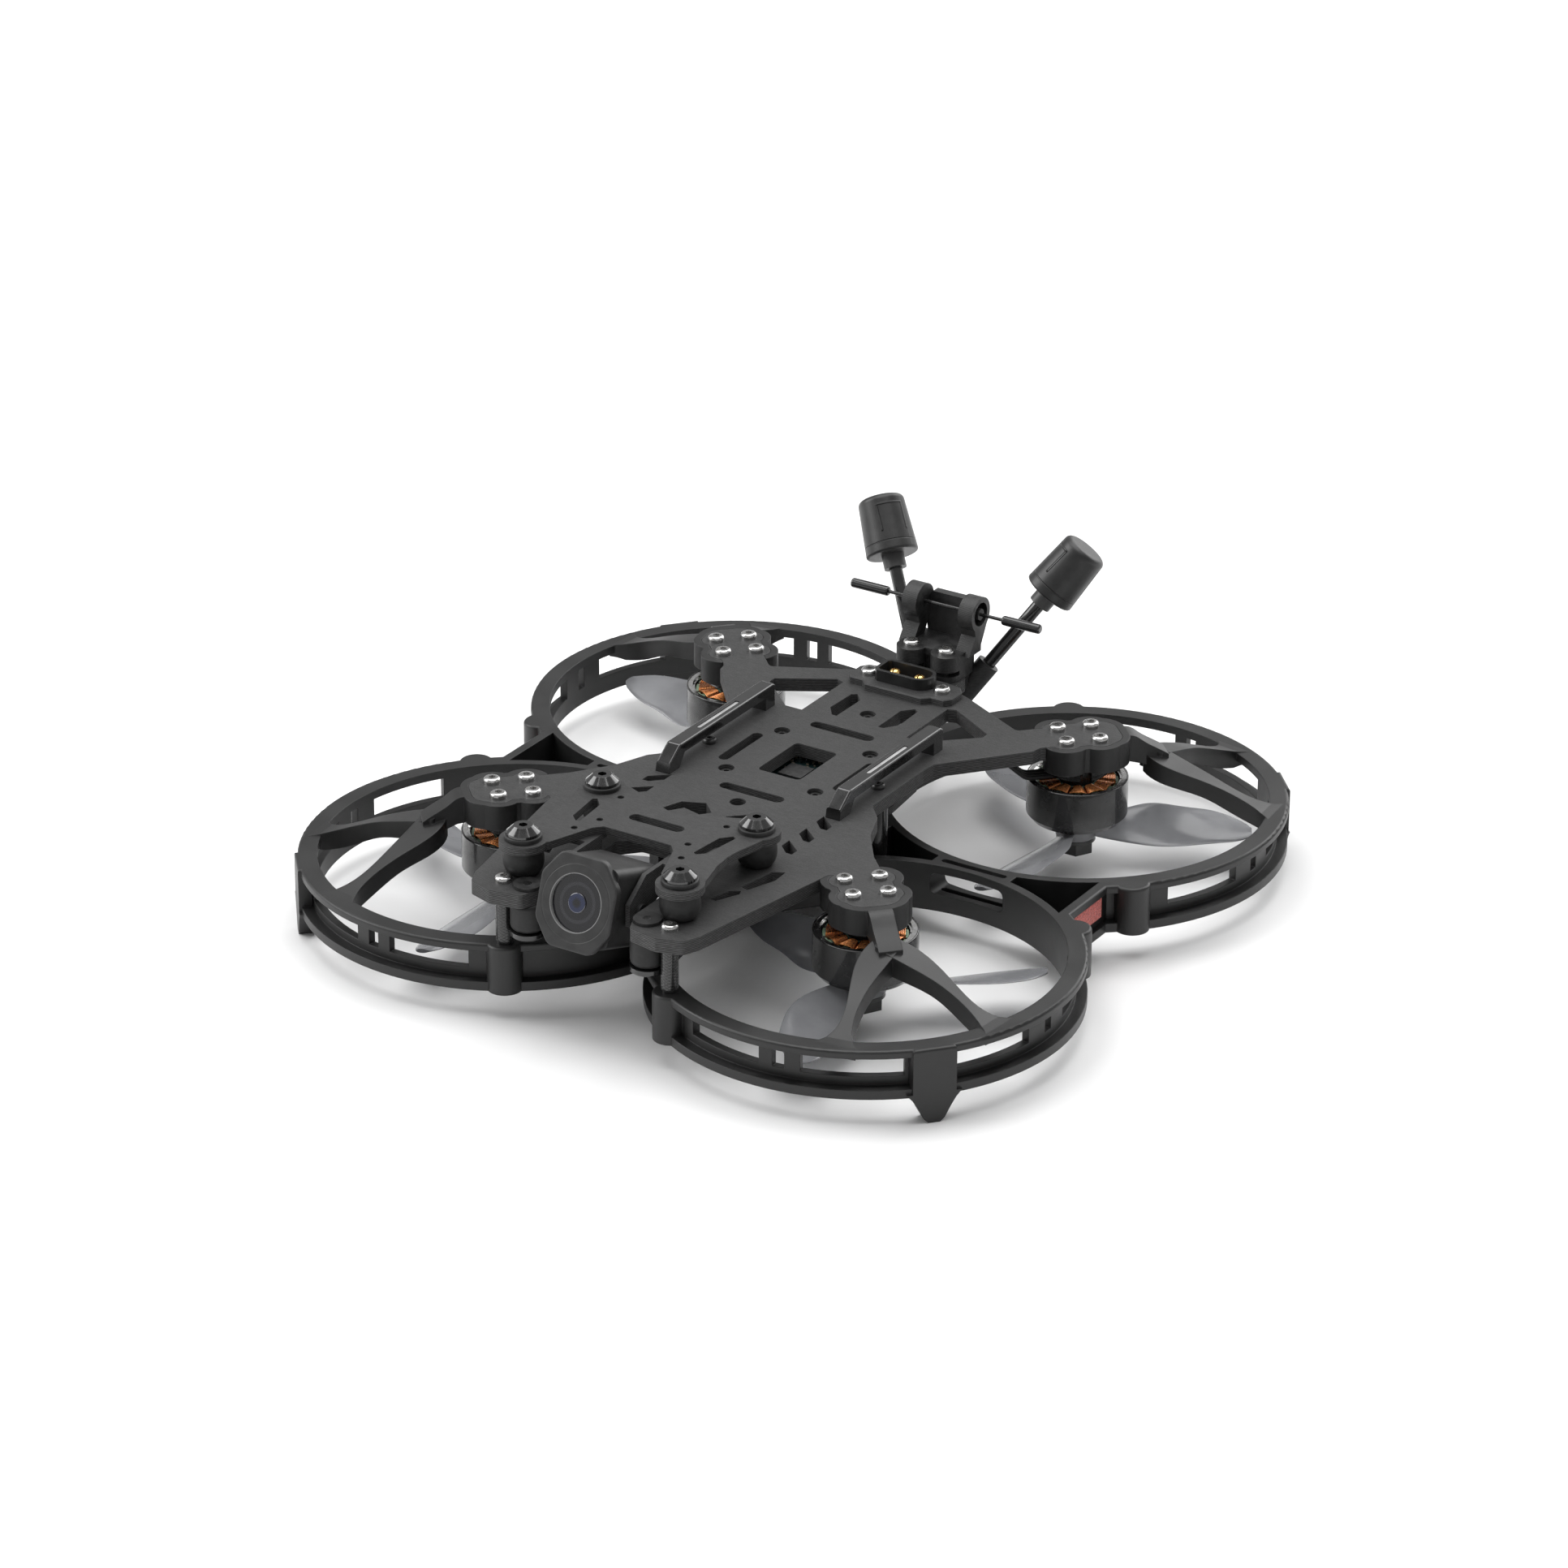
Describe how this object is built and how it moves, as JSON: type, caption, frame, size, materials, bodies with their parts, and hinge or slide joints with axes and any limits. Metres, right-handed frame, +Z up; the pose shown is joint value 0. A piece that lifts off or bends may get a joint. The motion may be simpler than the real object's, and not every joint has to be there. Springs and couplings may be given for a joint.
{
  "type": "ducted racing drone",
  "caption": "Ducted racing drone: carbon plates, inverted motors with propellers in ring guards, camera on a damped deck, tilted rear antennas.",
  "frame": {"origin": "on the ground plane under the middle of the four feet, midway between the four motors", "axes": "+X to the drone's own left, -Y along the nose's direction of flight, +Z up"},
  "size_m": [0.205, 0.2052, 0.0699],
  "materials": {
    "carbon": "fine carbon grain, cut edges showing layers",
    "duct": "moulded, soft sheen",
    "black_steel": "black oxide",
    "steel": "polished",
    "posts": "gloss black anodised",
    "board": "dark solder mask",
    "rubber": "satin",
    "heat_case": "dark anodised",
    "sleeve": "smooth sleeve",
    "lead": "silicone",
    "gloss": "gloss black",
    "white_strip": "plain",
    "connector": "satin black",
    "gold": "polished",
    "printed": "printed in fine layers",
    "wire": "gloss",
    "glass": "dark coated glass",
    "camera": "matte dark grey",
    "bell": "gloss black",
    "magnet": "bright ring",
    "copper": "enamelled wire",
    "core": "stacked sheets with pale coating",
    "smoke": "smoky and slightly clear",
    "felt": "felted"
  },
  "bodies": {
    "airframe": {"arms_plate": "carbon", "bottom_plate": "carbon", "damping_plate": "carbon", "connector_bracket": "carbon", "duct_guard_left": "duct", "duct_guard_right": "duct", "frame_standoffs": "posts", "front_standoffs": "posts", "plate_screws": "black_steel", "button_screws": "steel", "hex_nuts": "black_steel", "flight_controller": "board", "receiver": "board", "board_grommets": "rubber", "video_transmitter": "heat_case", "capacitor": "sleeve", "power_leads": "lead", "motor_leads": "lead", "side_rails": "gloss", "rail_strips": "white_strip", "power_connector": "connector", "connector_pins": "gold", "antenna_mount": "printed", "antenna_grommets": "rubber", "receiver_antenna": "wire", "antenna_stems": "wire", "antenna_caps": "connector", "damper_balls": "rubber", "damper_caps": "gloss", "lower_ball_discs": "posts", "camera_brackets": "carbon", "camera_pivot_screws": "black_steel", "motor_bases": "bell", "motor_bearings": "steel", "stator_cores": "core", "stator_windings": "copper", "web_pads": "felt"},
    "camera": {"camera_housing": "camera", "camera_bezel": "camera", "camera_glass": "glass"},
    "rotor_front_left": {"bell_front_left": "bell", "magnet_ring_front_left": "magnet", "axle_front_left": "steel", "propeller_front_left": "smoke", "prop_nut_front_left": "black_steel"},
    "rotor_front_right": {"bell_front_right": "bell", "magnet_ring_front_right": "magnet", "axle_front_right": "steel", "propeller_front_right": "smoke", "prop_nut_front_right": "black_steel"},
    "rotor_rear_left": {"bell_rear_left": "bell", "magnet_ring_rear_left": "magnet", "axle_rear_left": "steel", "propeller_rear_left": "smoke", "prop_nut_rear_left": "black_steel"},
    "rotor_rear_right": {"bell_rear_right": "bell", "magnet_ring_rear_right": "magnet", "axle_rear_right": "steel", "propeller_rear_right": "smoke", "prop_nut_rear_right": "black_steel"}
  },
  "joints": [
    {"name": "camera_tilt", "type": "hinge", "parent": "airframe", "child": "camera", "pos_m": [0, -0.087, 0.0336], "axis": [-1, 0, 0], "range_deg": [-18.5, 21.5]},
    {"name": "spin_front_left", "type": "hinge", "parent": "airframe", "child": "rotor_front_left", "pos_m": [0.0501, -0.0502, 0.02], "axis": [0, 0, 1], "continuous": true},
    {"name": "spin_front_right", "type": "hinge", "parent": "airframe", "child": "rotor_front_right", "pos_m": [-0.0501, -0.0502, 0.02], "axis": [0, 0, 1], "continuous": true},
    {"name": "spin_rear_left", "type": "hinge", "parent": "airframe", "child": "rotor_rear_left", "pos_m": [0.0501, 0.0502, 0.02], "axis": [0, 0, 1], "continuous": true},
    {"name": "spin_rear_right", "type": "hinge", "parent": "airframe", "child": "rotor_rear_right", "pos_m": [-0.0501, 0.0502, 0.02], "axis": [0, 0, 1], "continuous": true}
  ]
}
